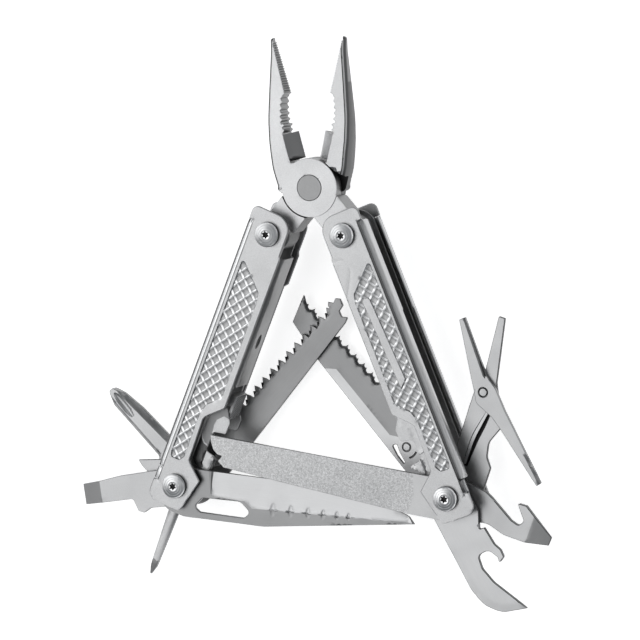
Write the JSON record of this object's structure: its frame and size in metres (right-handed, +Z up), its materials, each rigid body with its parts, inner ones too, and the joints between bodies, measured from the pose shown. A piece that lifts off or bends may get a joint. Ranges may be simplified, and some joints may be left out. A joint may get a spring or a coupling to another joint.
{
  "type": "multi tool",
  "caption": "Folding plier multi tool lying open, with hinged channel handles and knives, file, saw, scissors, drivers and opener fanned out.",
  "frame": {"origin": "on the plane the tool lies on, under the middle of its bounding box", "axes": "+Z up out of the front face, +Y from the handles towards the plier jaws, +X to the right seen from the front"},
  "size_m": [0.1646, 0.184, 0.0218],
  "materials": {
    "plate_steel": "fine bead-blasted stainless sheet",
    "liner_steel": "plain rolled stainless sheet",
    "jaw_steel": "fine satin stainless casting",
    "blade_steel": "satin ground blade steel",
    "tool_steel": "tumbled tool steel",
    "file_steel": "diamond-dust coated steel",
    "screw_steel": "turned and polished stainless"
  },
  "bodies": {
    "pliers_front": {"jaw_front": "jaw_steel", "wire_cutter_front": "tool_steel", "plier_rivet": "screw_steel"},
    "pliers_rear": {"jaw_rear": "jaw_steel", "wire_cutter_rear": "tool_steel"},
    "left_handle": {"left_front_plate": "plate_steel", "left_rear_plate": "plate_steel", "left_channel": "liner_steel", "left_front_lock_leaf": "liner_steel", "left_rear_lock_leaf": "liner_steel", "left_top_post": "screw_steel", "left_top_screw": "screw_steel", "left_top_front_spacer": "tool_steel", "left_top_rear_spacer": "tool_steel", "left_bottom_post": "screw_steel", "left_bottom_screw": "screw_steel", "left_bottom_front_spacer": "tool_steel", "left_bottom_rear_spacer": "tool_steel"},
    "right_handle": {"right_front_plate": "plate_steel", "right_rear_plate": "plate_steel", "right_channel": "liner_steel", "right_front_lock_leaf": "liner_steel", "right_rear_lock_leaf": "liner_steel", "right_top_post": "screw_steel", "right_top_screw": "screw_steel", "right_top_front_spacer": "tool_steel", "right_top_rear_spacer": "tool_steel", "right_bottom_post": "screw_steel", "right_bottom_screw": "screw_steel", "right_bottom_front_spacer": "tool_steel", "right_bottom_rear_spacer": "tool_steel"},
    "left_slider": {"left_slider": "liner_steel"},
    "right_slider": {"right_slider": "liner_steel"},
    "knife": {"knife": "blade_steel"},
    "saw": {"saw": "blade_steel"},
    "flat_driver": {"flat_driver": "tool_steel"},
    "pointed_pick": {"pointed_pick": "tool_steel"},
    "phillips_large": {"phillips_large": "tool_steel"},
    "phillips_small": {"phillips_small": "tool_steel"},
    "file": {"file": "file_steel"},
    "serrated_knife": {"serrated_knife": "blade_steel"},
    "bottle_opener": {"bottle_opener": "tool_steel"},
    "hook_blade": {"hook_blade": "tool_steel"},
    "scissors": {"scissors_body": "tool_steel", "scissors_rivet": "screw_steel", "scissors_spring": "tool_steel", "right_inner_spacer": "tool_steel"},
    "scissors_lever": {"scissors_lever": "tool_steel"}
  },
  "joints": [
    {"name": "plier_jaws", "type": "hinge", "parent": "pliers_front", "child": "pliers_rear", "pos_m": [-0.00018, 0.04293, 0.0109], "axis": [0, 0, -1], "range_deg": [-4.5, 5]},
    {"name": "left_handle_fold", "type": "hinge", "parent": "pliers_rear", "child": "left_handle", "pos_m": [-0.01297, 0.02769, 0.0109], "axis": [0, 0, 1], "range_deg": [-140, 0]},
    {"name": "right_handle_fold", "type": "hinge", "parent": "pliers_front", "child": "right_handle", "pos_m": [0.01324, 0.02824, 0.0109], "axis": [0, 0, -1], "range_deg": [-115, 0]},
    {"name": "left_lock_slide", "type": "slide", "parent": "left_handle", "child": "left_slider", "axis": [0.3665, 0.9304, 0], "range_m": [0, 0.002]},
    {"name": "right_lock_slide", "type": "slide", "parent": "right_handle", "child": "right_slider", "axis": [-0.3923, 0.9198, 0], "range_m": [0, 0.002]},
    {"name": "knife_fold", "type": "hinge", "parent": "left_handle", "child": "knife", "pos_m": [-0.04632, -0.05698, 0.0109], "axis": [0, 0, -1], "range_deg": [-74, 102]},
    {"name": "saw_fold", "type": "hinge", "parent": "left_handle", "child": "saw", "pos_m": [-0.04632, -0.05698, 0.0109], "axis": [0, 0, -1], "range_deg": [-20, 160]},
    {"name": "flat_driver_fold", "type": "hinge", "parent": "left_handle", "child": "flat_driver", "pos_m": [-0.04632, -0.05698, 0.0109], "axis": [0, 0, 1], "range_deg": [-120.5, 59.5]},
    {"name": "pointed_pick_fold", "type": "hinge", "parent": "left_handle", "child": "pointed_pick", "pos_m": [-0.04632, -0.05698, 0.0109], "axis": [0, 0, 1], "range_deg": [-87.5, 92.5]},
    {"name": "phillips_large_fold", "type": "hinge", "parent": "left_handle", "child": "phillips_large", "pos_m": [-0.04632, -0.05698, 0.0109], "axis": [0, 0, 1], "range_deg": [-63.5, 116.5]},
    {"name": "phillips_small_fold", "type": "hinge", "parent": "left_handle", "child": "phillips_small", "pos_m": [-0.04632, -0.05698, 0.0109], "axis": [0, 0, 1], "range_deg": [-177.7, 2.3]},
    {"name": "file_fold", "type": "hinge", "parent": "right_handle", "child": "file", "pos_m": [0.04894, -0.05547, 0.0109], "axis": [0, 0, 1], "range_deg": [-58.4, 121.6]},
    {"name": "serrated_knife_fold", "type": "hinge", "parent": "right_handle", "child": "serrated_knife", "pos_m": [0.04894, -0.05547, 0.0109], "axis": [0, 0, 1], "range_deg": [-22.4, 157.6]},
    {"name": "scissors_fold", "type": "hinge", "parent": "right_handle", "child": "scissors", "pos_m": [0.04894, -0.05547, 0.0109], "axis": [0, 0, -1], "range_deg": [-29, 148.4]},
    {"name": "bottle_opener_fold", "type": "hinge", "parent": "right_handle", "child": "bottle_opener", "pos_m": [0.04894, -0.05547, 0.0109], "axis": [0, 0, -1], "range_deg": [-137.1, 42.9]},
    {"name": "hook_blade_fold", "type": "hinge", "parent": "right_handle", "child": "hook_blade", "pos_m": [0.04894, -0.05547, 0.0109], "axis": [0, 0, -1], "range_deg": [-171.1, 8.9]},
    {"name": "scissors_squeeze", "type": "hinge", "parent": "scissors", "child": "scissors_lever", "pos_m": [0.05845, -0.0216, 0.0109], "axis": [0, 0, 1], "range_deg": [-28, 0], "stiffness_Nm_per_rad": 0.12, "springref_deg": 8.59}
  ]
}
